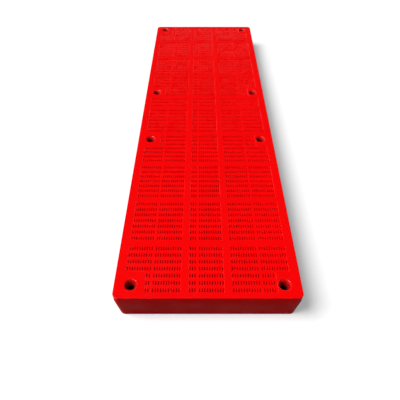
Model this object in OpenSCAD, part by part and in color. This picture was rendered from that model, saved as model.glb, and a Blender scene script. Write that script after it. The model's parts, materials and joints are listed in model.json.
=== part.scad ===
// Bolt-down polyurethane screen panel for a vibrating screen, cast in one piece.
// X runs across the panel, Y along it and Z up; the origin is the middle of the underside.

/* [Panel] */
// Length along Y
panel_l = 1000; // [700:5:1400]
// Width along X
panel_w = 305; // [260:1:420]
// Thickness from the underside to the top of the bars
panel_t = 60; // [30:1:80]
// Height of the upright lip below the top face
lip_h = 16; // [6:0.5:20]
// How far the sides slant inwards between the lip and the underside
side_draft = 4; // [0.5:0.5:5]
// Radius of the four upright corners
corner_r = 4; // [1:0.5:10]
// Bevel along the top edges
top_bevel = 1; // [0.4:0.2:2]

/* [Screening deck] */
// Thickness of the slotted deck
deck_t = 9; // [5:0.5:14]
// How far the deck lies below the top of the bars
deck_sink = 0.4; // [0.2:0.1:1.5]
// Solid border from the long sides to the first slot
side_border = 17.5; // [14:0.5:24]
// Solid border from the short ends to the first slot
end_border = 11.5; // [9:0.5:24]
// Solid bar across the panel between two fields of slots
bar_w = 15.5; // [9:0.5:20]
// Solid band along the panel between two columns of fields
band_w = 15.5; // [9:0.5:22]
// Solid tie along the middle of a field
tie_w = 6; // [4:0.5:9]

/* [Slots] */
// Width of a slot at the top of the deck
slot_w = 1.4; // [0.6:0.1:2.4]
// How much wider a slot is at the underside of the deck, so that grit falls free
slot_relief = 0.8; // [0.2:0.1:1.2]
// Solid web between two rows of slots
row_web = 6.7; // [2:0.1:9]
// Rows of slots in a field
field_rows = 7; // [4:1:9]
// Rows of slots in the one short field
short_field_rows = 3; // [1:1:6]
// Fields in front of the short field
fields_before = 5; // [1:1:6]
// Fields behind the short field
fields_after = 4; // [1:1:6]
// Slot places in a row of the left fields, on each side of the tie
left_places = [10, 11]; // [3:1:16]
// Slot places in a row of the middle fields, on each side of the tie
middle_places = [3, 10]; // [3:1:16]
// Slot places in a row of the right fields, on each side of the tie
right_places = [11, 11]; // [3:1:16]
// A slot is cut at one place in every
slot_every = 3; // [3:1:6]

/* [Bolts] */
// From a long side to the line of bolts
bolt_side = 27.5; // [24:0.5:40]
// From a short end to the outer bolts
bolt_end = 25; // [22:0.5:60]
// Distance between the two inner pairs of bolts
bolt_mid = 196; // [100:1:400]
// Diameter of a bolt hole
bolt_d = 11.5; // [8:0.5:14]
// Diameter of the countersink at the top
sink_d = 21.5; // [18:0.5:24]
// Depth of the countersink
sink_h = 6.5; // [4:0.5:10]
// Reach of the face without slots in front of and behind a bolt
clear_along = 22; // [20:0.5:30]
// Reach of the face without slots beside a bolt of the left row
clear_left = 24.5; // [14:0.5:30]
// Reach of the face without slots beside a bolt of the right row
clear_right = 14; // [14:0.5:30]

/* [Underside] */
// Solid ledge between the outermost slots and the wall of a pocket
pocket_ledge = 1; // [0.5:0.1:1.5]
// How far the walls of a pocket open downwards
pocket_draft = 1; // [0.5:0.1:1.5]
// Depth of the rib under a tie, below the deck
tie_rib_h = 9; // [4:0.5:14]
// Radius of the corners of the solid block round a bolt
block_r = 4; // [1:0.5:8]

/* [Hidden] */
$fn = 64;
past = 1;
panel_red = [0.88, 0.03, 0.03];

// Slots across: six groups of places, two to a column, with ties inside a column and bands between columns.
places = concat(left_places, middle_places, right_places);
groups = len(places);
columns = groups / 2;
function sum(list, count) = count < 1 ? 0 : list[count - 1] + sum(list, count - 1);
all_places = sum(places, groups);
solid_across = 2 * side_border + columns * tie_w + (columns - 1) * band_w;
slot_web = (panel_w - solid_across - all_places * slot_w) / (all_places - groups);
function group_w(g) = places[g] * slot_w + (places[g] - 1) * slot_web;
function group_x(g) = g == 0
    ? side_border - panel_w / 2
    : group_x(g - 1) + group_w(g - 1) + (g % 2 == 1 ? tie_w : band_w);
function place_x(g, i) = group_x(g) + i * (slot_w + slot_web) + slot_w / 2;
function first_place(g) = floor(((places[g] - 1) % slot_every) / 2);

// Slots along: fields with bars between them and webs between their rows.
fields = fields_before + 1 + fields_after;
rows = [for (f = [0 : fields - 1]) f == fields_before ? short_field_rows : field_rows];
all_rows = sum(rows, fields);
solid_along = 2 * end_border + (fields - 1) * bar_w + (all_rows - fields) * row_web;
slot_l = (panel_l - solid_along) / all_rows;
function field_y(f) = f == 0 ? end_border - panel_l / 2 : field_y(f - 1) + field_l(f - 1) + bar_w;
function row_y(f, r) = field_y(f) + r * (slot_l + row_web) + slot_l / 2;

// A field's size, and its tie measured from its middle.
function field_l(f) = rows[f] * slot_l + (rows[f] - 1) * row_web;
function field_w(c) = group_w(2 * c) + tie_w + group_w(2 * c + 1);
function tie_x(c) = (group_w(2 * c) - group_w(2 * c + 1)) / 2;

// Heights of the deck's top and underside.
deck_top = panel_t - deck_sink;
pocket_h = deck_top - deck_t;

// Bolts in two rows of four, each in a solid block that the slots keep clear of.
bolt_x = panel_w / 2 - bolt_side;
bolt_ys = [bolt_end - panel_l / 2, -bolt_mid / 2, bolt_mid / 2, panel_l / 2 - bolt_end];
function beside_bolt(x) = abs(x + bolt_x) < clear_left || abs(x - bolt_x) < clear_right;
function level_with_bolt(y) = min([for (b = bolt_ys) abs(y - b)]) < clear_along;
function block_w(side) = bolt_side + (side < 0 ? clear_left : clear_right) - slot_w / 2 - pocket_ledge;

// A block covers the rows level with its bolt, and runs into the bar or border beside a field's outermost row.
into_bar = pocket_ledge + bar_w / 2;
function level_rows(b) = [
    for (f = [0 : fields - 1], r = [0 : rows[f] - 1])
        if (abs(row_y(f, r) - b) < clear_along) [f, r]
];
function block_low(b) = let (row = level_rows(b)[0])
    row_y(row[0], row[1]) - slot_l / 2 - (row[1] == 0 ? into_bar : row_web / 2);
function block_high(b) = let (level = level_rows(b), row = level[len(level) - 1])
    row_y(row[0], row[1]) + slot_l / 2 + (row[1] == rows[row[0]] - 1 ? into_bar : row_web / 2);

// The first child is a section across a block of length l, and the second a section along its width w.
module crossed_sections(w, l) {
    intersection() {
        rotate([90, 0, 0])
            linear_extrude(l, center = true)
                children(0);
        rotate([90, 0, 90])
            linear_extrude(w, center = true)
                children(1);
    }
}

module rounded_rectangle(w, l, r) {
    square([w - 2 * r, l], center = true);
    square([w, l - 2 * r], center = true);
    for (x = [r - w / 2, w / 2 - r], y = [r - l / 2, l / 2 - r])
        translate([x, y])
            circle(r);
}

// Sides that slant outwards from the underside to the upright lip, with a bevel along the top.
module side_section(w) {
    half = w / 2;
    polygon([
        [side_draft - half, 0],
        [half - side_draft, 0],
        [half, panel_t - lip_h],
        [half, panel_t - top_bevel],
        [half - top_bevel, panel_t],
        [top_bevel - half, panel_t],
        [-half, panel_t - top_bevel],
        [-half, panel_t - lip_h],
    ]);
}

module blank() {
    intersection() {
        crossed_sections(panel_w, panel_l) {
            side_section(panel_w);
            side_section(panel_l);
        }
        linear_extrude(panel_t)
            rounded_rectangle(panel_w, panel_l, corner_r);
    }
}

// Moves its children to the middle of the field in column c and place f.
module at_field(c, f) {
    translate([group_x(2 * c) + field_w(c) / 2, field_y(f) + field_l(f) / 2, 0])
        children();
}

module pocket_section(w) {
    half = w / 2;
    spread = pocket_draft * (pocket_h + past) / pocket_h;
    polygon([
        [-half - spread, -past],
        [half + spread, -past],
        [half, pocket_h],
        [-half, pocket_h],
    ]);
}

// A pocket of w by l at the deck, which opens downwards.
module pocket(w, l) {
    reach = 2 * (pocket_draft + past);
    crossed_sections(w + reach, l + reach) {
        pocket_section(w);
        pocket_section(l);
    }
}

module tie_rib(l) {
    rib_w = tie_w - 2 * pocket_ledge;
    translate([-rib_w / 2, -l / 2 - past, pocket_h - tie_rib_h])
        cube([rib_w, l + 2 * past, tie_rib_h + past]);
}

// What is cut away round a field: a pocket below the deck, and the low step down to it above.
module field_cut(c, f) {
    w = field_w(c) + 2 * pocket_ledge;
    l = field_l(f) + 2 * pocket_ledge;
    at_field(c, f) {
        difference() {
            pocket(w, l);
            translate([tie_x(c), 0, 0])
                tie_rib(l);
        }
        translate([-w / 2, -l / 2, deck_top])
            cube([w, l, deck_sink + past]);
    }
}

module bolt_block(side, b) {
    low = block_low(b);
    high = block_high(b);
    translate([side * (panel_w - block_w(side)) / 2, (low + high) / 2, -2 * past])
        linear_extrude(panel_t + 4 * past)
            rounded_rectangle(block_w(side), high - low, block_r);
}

module bolt_hole() {
    translate([0, 0, -past])
        cylinder(d = bolt_d, h = panel_t + 2 * past);
    translate([0, 0, panel_t - sink_h])
        cylinder(d1 = bolt_d, d2 = sink_d, h = sink_h);
}

// Half the width of a slot at a depth below the top of the deck.
function slot_half(depth) = (slot_w + slot_relief * depth / deck_t) / 2;

module slot() {
    over = -deck_sink;
    under = deck_t + deck_sink;
    translate([0, 0, deck_top])
        rotate([90, 0, 0])
            linear_extrude(slot_l, center = true)
                polygon([
                    [-slot_half(over), -over],
                    [slot_half(over), -over],
                    [slot_half(under), -under],
                    [-slot_half(under), -under],
                ]);
}

module slots() {
    for (g = [0 : groups - 1], i = [first_place(g) : slot_every : places[g] - 1])
        for (f = [0 : fields - 1], r = [0 : rows[f] - 1])
            if (!(beside_bolt(place_x(g, i)) && level_with_bolt(row_y(f, r))))
                translate([place_x(g, i), row_y(f, r), 0])
                    slot();
}

module screen_panel() {
    color(panel_red)
        difference() {
            blank();
            difference() {
                for (c = [0 : columns - 1], f = [0 : fields - 1])
                    field_cut(c, f);
                for (side = [-1, 1], b = bolt_ys)
                    bolt_block(side, b);
            }
            slots();
            for (x = [-bolt_x, bolt_x], y = bolt_ys)
                translate([x, y, 0])
                    bolt_hole();
        }
}

screen_panel();
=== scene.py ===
"""Polyurethane screen panel: models the slotted casting over its solid, and the studio that it lies in."""

import json
import math
from collections import namedtuple

import bmesh
import bpy
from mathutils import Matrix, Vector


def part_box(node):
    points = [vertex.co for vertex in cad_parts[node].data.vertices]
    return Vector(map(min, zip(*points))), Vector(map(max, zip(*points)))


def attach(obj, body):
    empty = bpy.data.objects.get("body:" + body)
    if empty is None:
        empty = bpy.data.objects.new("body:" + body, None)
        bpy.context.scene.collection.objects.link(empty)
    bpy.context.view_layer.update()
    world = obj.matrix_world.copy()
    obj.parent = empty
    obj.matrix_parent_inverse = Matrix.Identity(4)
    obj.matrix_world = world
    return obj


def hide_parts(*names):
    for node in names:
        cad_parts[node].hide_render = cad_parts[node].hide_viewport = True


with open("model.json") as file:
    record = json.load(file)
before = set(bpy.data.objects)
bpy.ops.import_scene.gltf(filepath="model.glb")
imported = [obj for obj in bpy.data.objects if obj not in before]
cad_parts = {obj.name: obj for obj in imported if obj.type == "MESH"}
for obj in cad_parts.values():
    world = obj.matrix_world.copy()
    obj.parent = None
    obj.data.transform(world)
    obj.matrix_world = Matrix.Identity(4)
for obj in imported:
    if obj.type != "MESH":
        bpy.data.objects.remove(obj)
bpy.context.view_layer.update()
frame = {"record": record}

bl_info = {
    "name": "Polyurethane screen panel",
    "version": (1, 0, 0),
    "blender": (4, 5, 0),
    "location": "View3D > Sidebar > Screen panel",
    "description": "Models a bolt-down polyurethane screen panel and the studio that it lies in",
    "category": "Object",
}

MM = 0.001

# Two places closer than this are the same, and a corner closer than the second to a cut lies on it.
TOUCH = 0.02 * MM
ON_CUT = 0.001 * MM

# Lines that agree to this many decimals of a metre are one.
LINE_DECIMALS = 7

# A face is level when the Z of its normal is past this, and upright when it is less.
LEVEL = 0.5

# Edges with more than the first angle between their faces are rounded, and below the second they look smooth.
SHARP_ANGLE = math.radians(50)
SMOOTH_ANGLE = math.radians(40)

# How far a cutter reaches past the faces that it opens.
PAST = 1 * MM

# Straight stretches of a round: the panel's upright corners, a block's corners, a bolt hole and the floor.
CORNER_CHORDS = 10
BLOCK_CHORDS = 3
HOLE_CHORDS = 48
FLOOR_CHORDS = 128

# The frame gives the panel's box and its bolt patterns.
panel_low, panel_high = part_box("screen_panel")
panel_size = panel_high - panel_low
mount_dims = {mount["name"]: mount["dims"] for mount in frame["record"]["mounts"]}
BOLTS_ACROSS = mount_dims["outer_bolts"]["spacing_x_mm"] * MM
OUTER_ALONG = mount_dims["outer_bolts"]["spacing_y_mm"] * MM
INNER_ALONG = mount_dims["inner_bolts"]["spacing_y_mm"] * MM
BOLT_RADIUS = mount_dims["outer_bolts"]["hole_r_mm"] * MM


def srgb(code):
    """Linear colour of an sRGB hex code."""
    channels = [int(code[i : i + 2], 16) / 255 for i in (1, 3, 5)]
    return [c / 12.92 if c <= 0.04045 else ((c + 0.055) / 1.055) ** 2.4 for c in channels]


def length_prop(name, description, metres):
    """A size that the sidebar shows as a length."""
    return bpy.props.FloatProperty(
        name=name, description=description, default=metres, min=0.0, unit="LENGTH", precision=4
    )


def angle_prop(name, description, degrees):
    """An angle that the sidebar shows in degrees."""
    return bpy.props.FloatProperty(
        name=name, description=description, default=math.radians(degrees), subtype="ANGLE"
    )


def number_prop(name, description, number, low=0.0, high=1000.0):
    """A plain number within limits."""
    return bpy.props.FloatProperty(name=name, description=description, default=number, min=low, max=high)


def count_prop(name, description, count):
    """A number of like things."""
    return bpy.props.IntProperty(name=name, description=description, default=count, min=1)


def pair_prop(name, description, pair):
    """Two numbers of slots, one for each side of a tie."""
    return bpy.props.IntVectorProperty(name=name, description=description, size=2, default=pair, min=1)


def colour_prop(name, description, code):
    """A colour, given as an sRGB hex code."""
    return bpy.props.FloatVectorProperty(
        name=name, description=description, size=3, default=srgb(code), min=0.0, max=1.0, subtype="COLOR"
    )


class PanelSizes(bpy.types.PropertyGroup):
    """Sizes of the screen panel"""

    width: length_prop("Width", "Across the panel", panel_size.x)
    length: length_prop("Length", "Along the panel", panel_size.y)
    thickness: length_prop("Thickness", "From the underside to the top of the bars", panel_size.z)
    lip_height: length_prop("Lip height", "Height of the upright lip below the top face", 16 * MM)
    side_draft: length_prop("Side draft", "How far the sides slant inwards below the lip", 4 * MM)
    corner_radius: length_prop("Corner radius", "Radius of the four upright corners", 10 * MM)

    deck_thickness: length_prop("Deck thickness", "Thickness of the slotted deck", 9 * MM)
    deck_sink: length_prop("Deck sink", "How far the deck lies below the bars", 0.4 * MM)
    side_border: length_prop("Side border", "From a long side to the first slot", 17.5 * MM)
    end_border: length_prop("End border", "From a short end to the first slot", 11.5 * MM)
    bar_width: length_prop("Bar width", "Solid bar across the panel between two fields", 15.5 * MM)
    band_width: length_prop("Band width", "Solid band along the panel between two columns", 15.5 * MM)
    tie_width: length_prop("Tie width", "Solid tie along the middle of a field", 6 * MM)

    slot_width: length_prop("Slot width", "Width of a slot at the top of the deck", 1.4 * MM)
    slot_relief: length_prop("Slot relief", "How much wider a slot is under the deck", 0.8 * MM)
    row_web: length_prop("Row web", "Solid web between two rows of slots", 6.7 * MM)
    field_rows: count_prop("Field rows", "Rows of slots in a field", 7)
    short_rows: count_prop("Short field rows", "Rows of slots in the one short field", 3)
    fields_before: count_prop("Fields before", "Fields in front of the short field", 5)
    fields_after: count_prop("Fields after", "Fields behind the short field", 4)
    left_slots: pair_prop("Left slots", "Slots in a row of the left fields", (10, 11))
    middle_slots: pair_prop("Middle slots", "Slots in a row of the middle fields", (3, 10))
    right_slots: pair_prop("Right slots", "Slots in a row of the right fields", (11, 11))

    bolts_across: length_prop("Bolts across", "Between the two lines of bolts", BOLTS_ACROSS)
    outer_along: length_prop("Outer bolts", "Between the outer bolts of a line", OUTER_ALONG)
    inner_along: length_prop("Inner bolts", "Between the inner bolts of a line", INNER_ALONG)
    bolt_radius: length_prop("Bolt hole radius", "Radius of a bolt hole", BOLT_RADIUS)
    sink_radius: length_prop("Countersink radius", "Radius of a countersink at its top", 10.75 * MM)
    sink_depth: length_prop("Countersink depth", "Depth of a countersink", 6.5 * MM)
    clear_along: length_prop("Clear along", "Face without slots in front of and behind a bolt", 22 * MM)
    clear_left: length_prop("Clear left", "Face without slots beside a bolt on the left", 24.5 * MM)
    clear_right: length_prop("Clear right", "Face without slots beside a bolt on the right", 14 * MM)
    block_radius: length_prop("Block radius", "Radius of the corners of the block round a bolt", 4 * MM)

    pocket_ledge: length_prop("Pocket ledge", "Between the outermost slots and a pocket's wall", 1 * MM)
    pocket_draft: length_prop("Pocket draft", "How far a pocket's walls open downwards", 1 * MM)
    tie_rib_depth: length_prop("Tie rib depth", "Depth of the rib under a tie", 9 * MM)

    rim_round: length_prop("Rim round", "Rounding along the panel's top edge", 1 * MM)
    step_round: length_prop("Step round", "Bevel along the step round a field", 0.25 * MM)
    slot_round: length_prop("Slot round", "Bevel round the mouth of a slot", 0.2 * MM)
    foot_round: length_prop("Foot round", "Bevel along the edges of the underside", 0.5 * MM)
    sink_round: length_prop("Countersink round", "Rounding round the mouth of a countersink", 0.6 * MM)


class PanelFinish(bpy.types.PropertyGroup):
    """Colours of the cast polyurethane, and of the painted shade in its bolt holes"""

    red: colour_prop("Red", "Main colour of the polyurethane", "#FA0304")
    deep_red: colour_prop("Deep red", "Colour of the faint mottling", "#EE0204")
    # Painted shade: the countersinks start a darker red at their mouth and turn near black down the bores, in
    # place of the shade in the holes.
    painted_shade_red: colour_prop("Soiled red", "Colour of the countersinks at their mouth", "#DC0305")
    painted_bore_shade: colour_prop("Grime", "Colour of the thick grime down in the bores", "#1E0203")
    painted_shade_depth: length_prop("Grime depth", "From a countersink down to the thickest grime", 8 * MM)


class StudioSettings(bpy.types.PropertyGroup):
    """Floor, light and camera"""

    floor: colour_prop("Floor", "Floor as it is seen", "#FFFFFF")
    floor_bounce: colour_prop("Floor bounce", "Floor as it lights the panel", "#505050")
    floor_radius: length_prop("Floor radius", "From the panel's middle to the edge of the floor", 10.0)
    shadow_lift: number_prop("Shadow lift", "How pale the floor is seen in the shadow", 0.35, high=1.0)

    wall: colour_prop("Wall", "Studio wall, as it is seen", "#FFFFFF")
    wall_top: angle_prop("Wall top", "How high the wall is white, seen from the panel", 13)
    wall_fade: angle_prop("Wall fade", "How much higher it has turned into the ceiling", 1.5)
    ceiling: colour_prop("Ceiling", "Studio above the wall, and all of it as it lights the panel", "#262626")

    lamp_strength: number_prop("Lamp strength", "Strength of the soft light", 4.1)
    lamp_spread: angle_prop("Lamp spread", "How wide the soft light is", 36)
    lamp_tilt: angle_prop("Lamp tilt", "How far the soft light stands from overhead", 35)
    lamp_side: angle_prop("Lamp side", "How far the soft light stands to the left of the camera", 82)
    lamp_height: length_prop("Lamp height", "From the floor to the soft light", 2.0)

    lens: number_prop("Lens", "Focal length of the camera in millimetres", 35.0, low=1.0)
    sensor: number_prop("Sensor", "Width of the camera's sensor in millimetres", 36.0, low=1.0)
    camera_side: length_prop("Camera to the left", "From the panel's middle line to the camera", 12.6 * MM)
    camera_back: length_prop("Camera back", "From the panel's middle back to the camera", 803.6 * MM)
    camera_height: length_prop("Camera height", "From the floor to the camera", 614.2 * MM)
    camera_pitch: angle_prop("Camera pitch", "How far the camera looks down", 47.05)
    camera_near: length_prop("Camera near", "Nothing closer to the camera is shown", 10 * MM)


def row_of_groups(start, counts, item, web, gaps):
    """Start and end of each group along a line, and of each item in the groups."""
    groups = []
    items = []
    for count, gap in zip(counts, [*gaps, 0.0]):
        starts = [start + i * (item + web) for i in range(count)]
        items += [(s, s + item) for s in starts]
        groups.append((start, starts[-1] + item))
        start = groups[-1][1] + gap
    return groups, items


def inside(value, spans):
    """Whether a value lies in one of the spans."""
    return any(low < value < high for low, high in spans)


def at_end(value, spans, end):
    """Whether a value lies at that end, 0 or 1, of one of the spans."""
    return any(abs(value - span[end]) < TOUCH for span in spans)


def ends_of(*rows):
    """The two ends of every span in some rows of spans, in order."""
    return sorted({round(end, LINE_DECIMALS) for spans in rows for span in spans for end in span})


# A bolt block: its side of the panel, and where its inner edge and its two ends lie.
Block = namedtuple("Block", "side inner low high")


class Plan:
    """Where the fields, ties, slots and bolts lie, worked out from the sizes."""

    def __init__(self, sizes):
        self.sizes = sizes
        self.deck_top = sizes.thickness - sizes.deck_sink
        self.pocket_top = self.deck_top - sizes.deck_thickness
        self.lay_slots()
        self.lay_bolts()

    def lay_slots(self):
        sizes = self.sizes
        counts = [*sizes.left_slots, *sizes.middle_slots, *sizes.right_slots]
        gaps = [sizes.tie_width, sizes.band_width, sizes.tie_width, sizes.band_width, sizes.tie_width]
        free = sizes.width - 2 * sizes.side_border - sum(gaps) - sum(counts) * sizes.slot_width
        web = free / (sum(counts) - len(counts))
        start = sizes.side_border - sizes.width / 2
        groups, self.slots = row_of_groups(start, counts, sizes.slot_width, web, gaps)

        before = [sizes.field_rows] * sizes.fields_before
        after = [sizes.field_rows] * sizes.fields_after
        rows = [*before, sizes.short_rows, *after]
        bars = [sizes.bar_width] * (len(rows) - 1)
        webs = (sum(rows) - len(rows)) * sizes.row_web
        slot_length = (sizes.length - 2 * sizes.end_border - sum(bars) - webs) / sum(rows)
        start = sizes.end_border - sizes.length / 2
        fields, self.rows = row_of_groups(start, rows, slot_length, sizes.row_web, bars)

        ledge = sizes.pocket_ledge
        pairs = list(zip(groups[0::2], groups[1::2]))
        self.columns = [(left[0] - ledge, right[1] + ledge) for left, right in pairs]
        self.ties = [(left[1] + ledge, right[0] - ledge) for left, right in pairs]
        self.fields = [(low - ledge, high + ledge) for low, high in fields]

    def lay_bolts(self):
        sizes = self.sizes
        lengths = (sizes.outer_along, sizes.inner_along)
        self.bolt_x = sizes.bolts_across / 2
        self.bolt_ys = [sign * length / 2 for length in lengths for sign in (-1, 1)]
        self.blocks = []
        for side in (-1, 1):
            inner = self.bolt_x - self.reach(side) + sizes.slot_width / 2 + sizes.pocket_ledge
            self.blocks += [Block(side, inner, *self.block_ends(bolt_y)) for bolt_y in self.bolt_ys]
        self.chords = [math.pi / 2 * (i + 0.5) / BLOCK_CHORDS for i in range(BLOCK_CHORDS)]
        self.chord_reach = sizes.block_radius * math.cos(math.pi / 4 / BLOCK_CHORDS)

    def block_ends(self, bolt_y):
        """A block covers the rows level with its bolt, and runs into the bar or border beside a field."""
        sizes = self.sizes
        level = [row for row in self.rows if abs(sum(row) / 2 - bolt_y) < sizes.clear_along]
        low = level[0][0]
        high = level[-1][1]
        into_bar = sizes.pocket_ledge + sizes.bar_width / 2
        low -= into_bar if at_end(low - sizes.pocket_ledge, self.fields, 0) else sizes.row_web / 2
        high += into_bar if at_end(high + sizes.pocket_ledge, self.fields, 1) else sizes.row_web / 2
        return low, high

    def reach(self, side):
        """Face without slots from a bolt towards the panel's middle line."""
        return self.sizes.clear_left if side < 0 else self.sizes.clear_right

    def by_bolt(self, x, y):
        """Whether a slot with its middle here would be too close to a bolt."""
        side = -1 if x < 0 else 1
        level = any(abs(y - bolt_y) < self.sizes.clear_along for bolt_y in self.bolt_ys)
        return level and abs(x - side * self.bolt_x) < self.reach(side)

    def is_slot(self, x, y):
        """Whether a face with its middle here is cut out as a slot."""
        return inside(x, self.slots) and inside(y, self.rows) and not self.by_bolt(x, y)

    def is_block(self, x, y):
        """Whether a place lies in the solid block round a bolt, which has round corners."""
        radius = self.sizes.block_radius
        for block in self.blocks:
            across = block.side * x - block.inner
            along = min(y - block.low, block.high - y)
            if across > 0 and along > 0:
                u = radius - across
                v = radius - along
                if min(u, v) <= 0:
                    return True
                return all(u * math.cos(a) + v * math.sin(a) < self.chord_reach for a in self.chords)
        return False

    def is_field(self, x, y):
        """Whether a place lies in a field of slots, beside the bolt blocks."""
        return inside(x, self.columns) and inside(y, self.fields) and not self.is_block(x, y)

    def is_tie(self, x, y):
        """Whether a place lies on the tie along a field."""
        return inside(x, self.ties) and inside(y, self.fields)

    def on_outline(self, point):
        """Whether a point that the side's slant hasn't moved lies on the panel's outline."""
        sizes = self.sizes
        side = sizes.width / 2 - abs(point.x)
        end = sizes.length / 2 - abs(point.y)
        in_corner = max(side, end) < sizes.corner_radius + TOUCH
        return min(side, end) < TOUCH or in_corner

    def from_bolt(self, point):
        """How far a point is from the middle line of the nearest bolt."""
        along = min(abs(point.y - bolt_y) for bolt_y in self.bolt_ys)
        return math.hypot(abs(point.x) - self.bolt_x, along)


def deselect_all():
    """Goes back to object mode with nothing selected."""
    if bpy.context.object and bpy.context.object.mode != "OBJECT":
        bpy.ops.object.mode_set(mode="OBJECT")
    bpy.ops.object.select_all(action="DESELECT")


def select_only(piece):
    """Selects one piece and makes it the active one."""
    deselect_all()
    piece.select_set(True)
    bpy.context.view_layer.objects.active = piece


def new_piece(name):
    """Names the primitive that was just added and moves its place into its mesh."""
    piece = bpy.context.object
    piece.name = name
    piece.data.name = name
    bpy.ops.object.transform_apply(location=True, rotation=True, scale=True)
    return piece


def edit(piece):
    """Opens a piece in edit mode."""
    select_only(piece)
    bpy.ops.object.mode_set(mode="EDIT")


def pick(piece, kind, wanted):
    """Selects just the vertices, edges or faces that are wanted."""
    bpy.ops.mesh.select_mode(type=kind)
    bpy.ops.mesh.select_all(action="DESELECT")
    mesh = bmesh.from_edit_mesh(piece.data)
    parts = {"VERT": mesh.verts, "EDGE": mesh.edges, "FACE": mesh.faces}[kind]
    found = [part for part in parts if wanted(part)]
    for part in found:
        part.select_set(True)
    mesh.select_flush_mode()
    bmesh.update_edit_mesh(piece.data)
    if not found:
        raise RuntimeError(f"nothing to select on {piece.name}")


def extrude(height):
    """Draws the selected faces out, up or down."""
    bpy.ops.mesh.extrude_region_move(TRANSFORM_OT_translate={"value": (0, 0, height)})


def apply_modifier(piece, kind, **settings):
    """Adds a modifier with its settings and applies it."""
    select_only(piece)
    modifier = piece.modifiers.new(kind.title(), kind)
    for key, value in settings.items():
        setattr(modifier, key, value)
    bpy.ops.object.modifier_apply(modifier=modifier.name)


def at_height(part, height):
    """Whether all of an edge's or face's corners lie at a height."""
    return all(abs(vert.co.z - height) < TOUCH for vert in part.verts)


def is_sharp(edge, height):
    """Whether two faces meet at about a right angle at an edge that lies at a height."""
    level = at_height(edge, height)
    return level and len(edge.link_faces) == 2 and edge.calc_face_angle() > SHARP_ANGLE


def cut_near(panel, x_span, y_span, place, normal):
    """Cuts only those faces that reach into a rectangle."""

    def reaches_in(face):
        xs = [vert.co.x for vert in face.verts]
        ys = [vert.co.y for vert in face.verts]
        across = max(xs) > min(x_span) + TOUCH and min(xs) < max(x_span) - TOUCH
        return across and max(ys) > min(y_span) + TOUCH and min(ys) < max(y_span) - TOUCH

    pick(panel, "FACE", reaches_in)
    bpy.ops.mesh.bisect(plane_co=(*place, 0), plane_no=(*normal, 0), threshold=ON_CUT)


def cut_block(panel, plan, block):
    """Cuts the outline of a bolt block, with round corners where it ends inside a field."""
    sizes = plan.sizes
    inner = block.side * block.inner
    width = (inner, block.side * sizes.width / 2)
    length = (block.low, block.high)
    cut_near(panel, width, length, (inner, 0), (1, 0))
    radius = sizes.block_radius
    for end, way in ((block.low, -1), (block.high, 1)):
        if not inside(end, plan.fields):
            continue
        cut_near(panel, width, length, (0, end), (0, 1))
        middle_x = inner + block.side * radius
        middle_y = end - way * radius
        for angle in plan.chords:
            normal = (-block.side * math.cos(angle), way * math.sin(angle))
            place = (middle_x + plan.chord_reach * normal[0], middle_y + plan.chord_reach * normal[1])
            cut_near(panel, (inner, middle_x), (end, middle_y), place, normal)


def slotted_deck(plan):
    """A plate with the panel's outline, cut along every line of slots and opened at each slot."""
    sizes = plan.sizes
    deselect_all()
    bpy.ops.mesh.primitive_plane_add(size=1, location=(0, 0, plan.deck_top))
    bpy.context.object.scale = (sizes.width, sizes.length, 1)
    panel = new_piece("cast_panel")
    edit(panel)
    bpy.ops.mesh.select_all(action="SELECT")
    bpy.ops.mesh.bevel(offset=sizes.corner_radius, segments=CORNER_CHORDS, affect="VERTICES")
    cuts = [((x, 0, 0), (1, 0, 0)) for x in ends_of(plan.columns, plan.ties, plan.slots)]
    cuts += [((0, y, 0), (0, 1, 0)) for y in ends_of(plan.fields, plan.rows)]
    for place, normal in cuts:
        bpy.ops.mesh.select_all(action="SELECT")
        bpy.ops.mesh.bisect(plane_co=place, plane_no=normal, threshold=ON_CUT)
    for block in plan.blocks:
        cut_block(panel, plan, block)

    def in_slot(face):
        middle = face.calc_center_median()
        return plan.is_slot(middle.x, middle.y)

    pick(panel, "FACE", in_slot)
    bpy.ops.mesh.delete(type="FACE")
    apply_modifier(panel, "SOLIDIFY", thickness=sizes.deck_thickness, offset=-1.0)
    return panel


def widen_slots(panel, plan):
    """Slots open downwards, so their lower edges move apart."""

    def on_slot_edge(vert, end):
        low = abs(vert.co.z - plan.pocket_top) < TOUCH
        walls = any(abs(face.normal.z) < LEVEL for face in vert.link_faces)
        return low and walls and at_end(vert.co.x, plan.slots, end) and not plan.on_outline(vert.co)

    edit(panel)
    for end, way in ((0, -1), (1, 1)):
        pick(panel, "VERT", lambda vert: on_slot_edge(vert, end))
        bpy.ops.transform.translate(value=(way * plan.sizes.slot_relief / 2, 0, 0))


def raise_bars(panel, plan):
    """The border, bars and bands stand above the deck."""

    def is_bar(face):
        middle = face.calc_center_median()
        upward = face.normal.z > LEVEL and at_height(face, plan.deck_top)
        return upward and not plan.is_field(middle.x, middle.y)

    edit(panel)
    pick(panel, "FACE", is_bar)
    extrude(plan.sizes.deck_sink)


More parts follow.
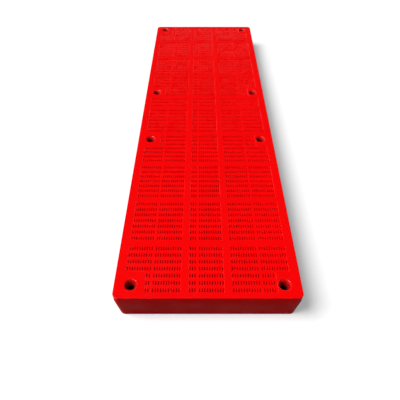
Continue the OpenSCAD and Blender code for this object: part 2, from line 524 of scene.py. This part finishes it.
def drop_ribs(panel, plan):
    """Ribs below the border, bars and bands reach the underside, and those below the ties stop short."""
    sizes = plan.sizes
    lip_foot = sizes.thickness - sizes.lip_height
    tie_foot = plan.pocket_top - sizes.tie_rib_depth

    def is_rib(face, height, with_ties):
        middle = face.calc_center_median()
        downward = face.normal.z < -LEVEL and at_height(face, height)
        tie = with_ties and plan.is_tie(middle.x, middle.y)
        return downward and (tie or not plan.is_field(middle.x, middle.y))

    edit(panel)
    height = plan.pocket_top
    for foot, with_ties in ((lip_foot, True), (tie_foot, True), (0.0, False)):
        pick(panel, "FACE", lambda face: is_rib(face, height, with_ties))
        extrude(foot - height)
        height = foot

    for height in (tie_foot, 0.0):
        inset = sizes.side_draft * (lip_foot - height) / lip_foot
        pick(panel, "VERT", lambda vert: abs(vert.co.z - height) < TOUCH and plan.on_outline(vert.co))
        scale = (1 - 2 * inset / sizes.width, 1 - 2 * inset / sizes.length, 1)
        bpy.ops.transform.resize(value=scale, center_override=(0, 0, height))

    for height in (lip_foot, tie_foot, 0.0):
        open_pockets(panel, plan, height)


def open_pockets(panel, plan, height):
    """Moves the walls of the pockets outwards at a height, for their draft."""
    spread = plan.sizes.pocket_draft * (1 - height / plan.pocket_top)

    def on_wall(vert, axis, end):
        spans = (plan.columns, plan.fields)
        other = 1 - axis
        slack = [(low - 2 * spread, high + 2 * spread) for low, high in spans[other]]
        level = abs(vert.co.z - height) < TOUCH
        return level and at_end(vert.co[axis], spans[axis], end) and inside(vert.co[other], slack)

    for axis, end in ((0, 0), (0, 1), (1, 0), (1, 1)):
        way = [0.0, 0.0, 0.0]
        way[axis] = spread if end else -spread
        pick(panel, "VERT", lambda vert: on_wall(vert, axis, end))
        bpy.ops.transform.translate(value=way)


def round_edges(panel, plan):
    """Rounds the top edge, the steps, the mouths of the slots and the edges of the underside."""
    sizes = plan.sizes

    def on_step(edge):
        return is_sharp(edge, sizes.thickness) and not plan.on_outline(edge.verts[0].co)

    def on_slot(edge):
        if not is_sharp(edge, plan.deck_top):
            return False
        return min(face.calc_center_median().z for face in edge.link_faces) < plan.deck_top - TOUCH

    def on_rim(edge):
        return is_sharp(edge, sizes.thickness) and all(plan.on_outline(vert.co) for vert in edge.verts)

    def on_foot(edge):
        return is_sharp(edge, 0.0)

    # Which edges, how wide their round is, and of how many straight stretches.
    rounds = (
        (on_step, sizes.step_round, 1),
        (on_slot, sizes.slot_round, 1),
        (on_rim, sizes.rim_round, 3),
        (on_foot, sizes.foot_round, 1),
    )
    edit(panel)
    for wanted, width, segments in rounds:
        pick(panel, "EDGE", wanted)
        bpy.ops.mesh.bevel(offset=width, segments=segments, affect="EDGES", clamp_overlap=False)


def bolt_cutter(sizes, x, y):
    """The hollow of a bolt hole: a straight bore, a countersink and its rounded mouth."""
    top = sizes.thickness
    soft = sizes.sink_round
    slope = (sizes.sink_radius - sizes.bolt_radius) / sizes.sink_depth
    mouth = sizes.sink_radius + soft / 2
    profile = [
        (sizes.bolt_radius, top - sizes.sink_depth),
        (sizes.sink_radius - soft * slope, top - soft),
        (sizes.sink_radius - soft * slope / 4, top - soft / 4),
        (mouth, top),
        (mouth, top + PAST),
    ]
    radius = sizes.bolt_radius
    height = -PAST
    deselect_all()
    bpy.ops.mesh.primitive_circle_add(
        vertices=HOLE_CHORDS, radius=radius, fill_type="NGON", location=(x, y, height)
    )
    cutter = new_piece("bolt_cutter")
    edit(cutter)
    bpy.ops.mesh.select_all(action="SELECT")
    for next_radius, next_height in profile:
        extrude(next_height - height)
        grow = next_radius / radius
        bpy.ops.transform.resize(value=(grow, grow, 1), center_override=(x, y, next_height))
        radius = next_radius
        height = next_height
    bpy.ops.mesh.select_all(action="SELECT")
    bpy.ops.mesh.normals_make_consistent(inside=False)
    return cutter


def drill_bolts(panel, plan):
    """Countersunk holes through the bolt blocks, cut by one tool that is joined from eight."""
    cutters = [bolt_cutter(plan.sizes, side * plan.bolt_x, y) for side in (-1, 1) for y in plan.bolt_ys]
    select_only(cutters[0])
    for cutter in cutters:
        cutter.select_set(True)
    bpy.ops.object.join()
    apply_modifier(panel, "BOOLEAN", object=cutters[0], operation="DIFFERENCE", solver="EXACT")
    bpy.data.objects.remove(cutters[0])


def add_node(tree, kind, sockets=None, **settings):
    """Adds a node with its settings; a socket is given a value, or another node's output to link."""
    node = tree.nodes.new(kind)
    for key, value in settings.items():
        setattr(node, key, value)
    for key, value in (sockets or {}).items():
        if isinstance(value, bpy.types.NodeSocket):
            tree.links.new(value, node.inputs[key])
        else:
            node.inputs[key].default_value = value
    return node


def calculate(tree, operation, first, second):
    """Result of a mathematical operation on two values."""
    return add_node(tree, "ShaderNodeMath", {0: first, 1: second}, operation=operation).outputs[0]


def noise(tree, place, size, detail):
    """Noise with features of about a size, and with finer ones by its detail."""
    sockets = {"Vector": place, "Scale": 1 / size, "Detail": detail}
    return add_node(tree, "ShaderNodeTexNoise", sockets).outputs["Fac"]


def remap(tree, value, span, onto=(0.0, 1.0)):
    """Moves a span of values onto another, whose ends hold for all values beyond it."""
    sockets = {
        "Value": value,
        "From Min": span[0],
        "From Max": span[1],
        "To Min": onto[0],
        "To Max": onto[1],
    }
    return add_node(tree, "ShaderNodeMapRange", sockets).outputs["Result"]


def blend(tree, share, first, second):
    """From the first colour to the second, as a share goes from 0 to 1."""
    sockets = {"Factor": share, "A": (*first, 1.0), "B": (*second, 1.0)}
    return add_node(tree, "ShaderNodeMix", sockets, data_type="RGBA").outputs[2]


def bump(tree, height, depth, **base):
    """Normal of a surface that a pattern raises by up to a depth."""
    sockets = {"Height": height, "Strength": 1.0, "Distance": depth, **base}
    return add_node(tree, "ShaderNodeBump", sockets).outputs["Normal"]


def new_material(name):
    """A material without nodes."""
    material = bpy.data.materials.new(name)
    material.use_nodes = True
    material.node_tree.nodes.clear()
    return material


# What a face of the mould leaves: least and most roughness, size and depth of the grain, and specular level.
Mould = namedtuple("Mould", "roughness grain_size grain_depth specular")
POLISHED = Mould((0.14, 0.22), 4 * MM, 0.004 * MM, 0.5)
SATIN = Mould((0.24, 0.34), 2.5 * MM, 0.012 * MM, 0.24)
MATT = Mould((0.5, 0.65), 2 * MM, 0.02 * MM, 0.05)
# Surface of the countersinks and bores; their colour is painted shade.
BORE_FINISH = Mould((0.4, 0.6), 2 * MM, 0.03 * MM, 0.5)

# Size and detail of the cloudy mottling, of the smears of gloss and of the waves, and the depth of the waves.
Pattern = namedtuple("Pattern", "size detail")
CLOUDS = Pattern(80 * MM, 3.0)
SMEARS = Pattern(30 * MM, 4.0)
WAVES = Pattern(70 * MM, 1.0)
WAVE_DEPTH = 0.5 * MM
GRAIN_DETAIL = 2.0

# Part of the smears' noise over which the roughness goes from its least to its most.
SMEAR_SPAN = (0.3, 0.7)

# Refractive index of polyurethane.
POLYURETHANE_IOR = 1.5


def cast_polyurethane(name, mould, colours, heights=None):
    """Cast polyurethane elastomer, through-coloured: a clear even red with faint cloudy mottling, and a
    surface that copies the mould, so it is slightly wavy with a fine grain. Where two heights are given,
    the first colour at the lower one turns into the second at the upper one instead of the mottling."""
    material = new_material(name)
    tree = material.node_tree
    place = add_node(tree, "ShaderNodeTexCoord").outputs["Object"]

    if heights:
        height = add_node(tree, "ShaderNodeSeparateXYZ", {"Vector": place}).outputs["Z"]
        share = remap(tree, height, heights)
    else:
        share = noise(tree, place, *CLOUDS)
    smears = noise(tree, place, *SMEARS)
    wavy = bump(tree, noise(tree, place, *WAVES), WAVE_DEPTH)
    grain = noise(tree, place, mould.grain_size, GRAIN_DETAIL)

    sockets = {
        "Base Color": blend(tree, share, *colours),
        "Roughness": remap(tree, smears, SMEAR_SPAN, mould.roughness),
        "IOR": POLYURETHANE_IOR,
        "Specular IOR Level": mould.specular,
        "Normal": bump(tree, grain, mould.grain_depth, Normal=wavy),
    }
    shader = add_node(tree, "ShaderNodeBsdfPrincipled", sockets)
    add_node(tree, "ShaderNodeOutputMaterial", {"Surface": shader.outputs["BSDF"]})
    return material


def finish_panel(panel, plan, finish):
    """Polished bars, satin fields of slots, and a matt side and underside, as the mould's faces leave them.
    The countersinks and bores carry painted shade, darker the deeper they go and near black down the bores."""
    sizes = plan.sizes
    clean = (finish.red, finish.deep_red)
    painted_shade_colours = (finish.painted_bore_shade, finish.painted_shade_red)
    darkest_shade_height = sizes.thickness - sizes.sink_depth - finish.painted_shade_depth
    for material in (
        cast_polyurethane("polyurethane_polished_mould", POLISHED, clean),
        cast_polyurethane("polyurethane_satin_mould", SATIN, clean),
        cast_polyurethane("polyurethane_matt_mould", MATT, clean),
        # Painted shade: near black low in the bores, turning into a darker red at the countersinks' mouth.
        cast_polyurethane("polyurethane_painted_shade_bore", BORE_FINISH, painted_shade_colours, (darkest_shade_height, sizes.thickness)),
    ):
        panel.data.materials.append(material)

    def is_deck(face):
        middle = face.calc_center_median()
        in_deck = plan.pocket_top + TOUCH < middle.z < plan.deck_top + TOUCH
        return in_deck and plan.is_field(middle.x, middle.y)

    def is_side(face):
        middle = face.calc_center_median()
        below_rim = middle.z < sizes.thickness - sizes.rim_round
        return below_rim and not is_deck(face) and plan.from_bolt(middle) > sizes.sink_radius

    # The countersinks and bores take the painted shade.
    def is_bore(face):
        return plan.from_bolt(face.calc_center_median()) < sizes.sink_radius - sizes.sink_round

    # All faces start as polished ones, and the other finishes follow in the order of their slots.
    edit(panel)
    for index, wanted in enumerate((is_deck, is_side, is_bore), start=1):
        pick(panel, "FACE", wanted)
        panel.active_material_index = index
        bpy.ops.object.material_slot_assign()
    select_only(panel)
    bpy.ops.object.shade_smooth_by_angle(angle=SMOOTH_ANGLE)
    apply_modifier(panel, "WEIGHTED_NORMAL", keep_sharp=True)


class SCREENPANEL_OT_cast_panel(bpy.types.Operator):
    """Model the slotted polyurethane panel as one closed casting"""

    bl_idname = "screenpanel.cast_panel"
    bl_label = "Cast panel"

    def execute(self, context):
        plan = Plan(context.scene.panel_sizes)
        panel = slotted_deck(plan)
        widen_slots(panel, plan)
        raise_bars(panel, plan)
        drop_ribs(panel, plan)
        round_edges(panel, plan)
        drill_bolts(panel, plan)
        finish_panel(panel, plan, context.scene.panel_finish)
        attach(panel, "root")
        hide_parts("screen_panel")
        return {"FINISHED"}


def seen_ray(tree):
    """1 for what the camera sees, also in a reflection, and 0 for what only lights the panel."""
    path = add_node(tree, "ShaderNodeLightPath")
    seen = path.outputs["Is Camera Ray"]
    for ray in ("Is Glossy Ray", "Is Transmission Ray"):
        seen = calculate(tree, "MAXIMUM", seen, path.outputs[ray])
    return seen


# From the panel's outline in to the part of the floor that counts as below it.
FOOT_INSET = 10 * MM


def beside_panel(tree):
    """1 on the floor beside the panel, and 0 below it."""
    place = add_node(tree, "ShaderNodeTexCoord").outputs["Object"]
    half = (panel_size.x / 2 - FOOT_INSET, panel_size.y / 2 - FOOT_INSET, 1.0)
    share = add_node(tree, "ShaderNodeVectorMath", {0: place, 1: half}, operation="DIVIDE").outputs[0]
    reach = add_node(tree, "ShaderNodeVectorMath", {0: share}, operation="ABSOLUTE").outputs[0]
    axes = add_node(tree, "ShaderNodeSeparateXYZ", {"Vector": reach}).outputs
    furthest = calculate(tree, "MAXIMUM", axes["X"], axes["Y"])
    return calculate(tree, "GREATER_THAN", furthest, 1.0)


def studio_floor(studio):
    """White floor; it is seen as white with a pale shadow, and lights the panel as a grey one would."""
    material = new_material("matt_white_floor")
    tree = material.node_tree
    seen = seen_ray(tree)
    colour = blend(tree, seen, studio.floor_bounce, studio.floor)
    lit = add_node(tree, "ShaderNodeBsdfDiffuse", {"Color": colour}).outputs["BSDF"]
    white = {"Color": (*studio.floor, 1.0), "Strength": 1.0}
    plain = add_node(tree, "ShaderNodeEmission", white).outputs["Emission"]
    pale = calculate(tree, "MULTIPLY", seen, beside_panel(tree))
    lift = calculate(tree, "MULTIPLY", pale, studio.shadow_lift)
    shader = add_node(tree, "ShaderNodeMixShader", {0: lift, 1: lit, 2: plain})
    add_node(tree, "ShaderNodeOutputMaterial", {"Surface": shader.outputs["Shader"]})

    deselect_all()
    bpy.ops.mesh.primitive_circle_add(
        vertices=FLOOR_CHORDS, radius=studio.floor_radius, fill_type="NGON", location=(0, 0, 0)
    )
    floor = new_piece("floor")
    floor.data.materials.append(material)


def studio_light(studio):
    """Soft light from the upper left, a white wall that is only seen, and a dim ceiling."""
    deselect_all()
    bpy.ops.object.light_add(type="SUN", location=(0, 0, studio.lamp_height))
    lamp = bpy.context.object
    lamp.name = "softbox"
    lamp.data.energy = studio.lamp_strength
    lamp.data.angle = studio.lamp_spread
    lamp.rotation_euler = (studio.lamp_tilt, 0, -studio.lamp_side)

    world = bpy.data.worlds.new("studio")
    world.use_nodes = True
    tree = world.node_tree
    tree.nodes.clear()
    direction = add_node(tree, "ShaderNodeTexCoord").outputs["Generated"]
    height = add_node(tree, "ShaderNodeSeparateXYZ", {"Vector": direction}).outputs["Z"]
    white_below = math.sin(studio.wall_top)
    dim_above = math.sin(studio.wall_top + studio.wall_fade)
    on_wall = remap(tree, height, (dim_above, white_below))
    seen_wall = calculate(tree, "MULTIPLY", on_wall, seen_ray(tree))
    colour = blend(tree, seen_wall, studio.ceiling, studio.wall)
    shader = add_node(tree, "ShaderNodeBackground", {"Color": colour, "Strength": 1.0})
    add_node(tree, "ShaderNodeOutputWorld", {"Surface": shader.outputs["Background"]})
    bpy.context.scene.world = world


def studio_camera(studio):
    """Camera in front of the panel, a little to the left, that looks down along it."""
    deselect_all()
    bpy.ops.object.camera_add(
        location=(-studio.camera_side, -studio.camera_back, studio.camera_height),
        rotation=(math.pi / 2 - studio.camera_pitch, 0, 0),
    )
    camera = bpy.context.object
    camera.data.lens = studio.lens
    camera.data.sensor_width = studio.sensor
    camera.data.clip_start = studio.camera_near
    bpy.context.scene.camera = camera


class SCREENPANEL_OT_set_studio(bpy.types.Operator):
    """Lay the floor and set up the light and the camera"""

    bl_idname = "screenpanel.set_studio"
    bl_label = "Set studio"

    def execute(self, context):
        studio = context.scene.studio_settings
        studio_floor(studio)
        studio_light(studio)
        studio_camera(studio)
        context.scene.view_settings.view_transform = "Standard"
        return {"FINISHED"}


class SCREENPANEL_PT_sidebar(bpy.types.Panel):
    """Sizes, colours and steps of the screen panel"""

    bl_label = "Screen panel"
    bl_space_type = "VIEW_3D"
    bl_region_type = "UI"
    bl_category = "Screen panel"

    def draw(self, context):
        layout = self.layout
        scene = context.scene
        for group in (scene.panel_sizes, scene.panel_finish, scene.studio_settings):
            for name in group.__annotations__:
                layout.prop(group, name)
        layout.operator(SCREENPANEL_OT_cast_panel.bl_idname)
        layout.operator(SCREENPANEL_OT_set_studio.bl_idname)


CLASSES = (
    PanelSizes,
    PanelFinish,
    StudioSettings,
    SCREENPANEL_OT_cast_panel,
    SCREENPANEL_OT_set_studio,
    SCREENPANEL_PT_sidebar,
)


def register():
    for cls in CLASSES:
        bpy.utils.register_class(cls)
    bpy.types.Scene.panel_sizes = bpy.props.PointerProperty(type=PanelSizes)
    bpy.types.Scene.panel_finish = bpy.props.PointerProperty(type=PanelFinish)
    bpy.types.Scene.studio_settings = bpy.props.PointerProperty(type=StudioSettings)


def unregister():
    del bpy.types.Scene.studio_settings
    del bpy.types.Scene.panel_finish
    del bpy.types.Scene.panel_sizes
    for cls in reversed(CLASSES):
        bpy.utils.unregister_class(cls)


def main():
    register()
    bpy.ops.screenpanel.cast_panel()
    bpy.ops.screenpanel.set_studio()


if __name__ == "__main__":
    main()
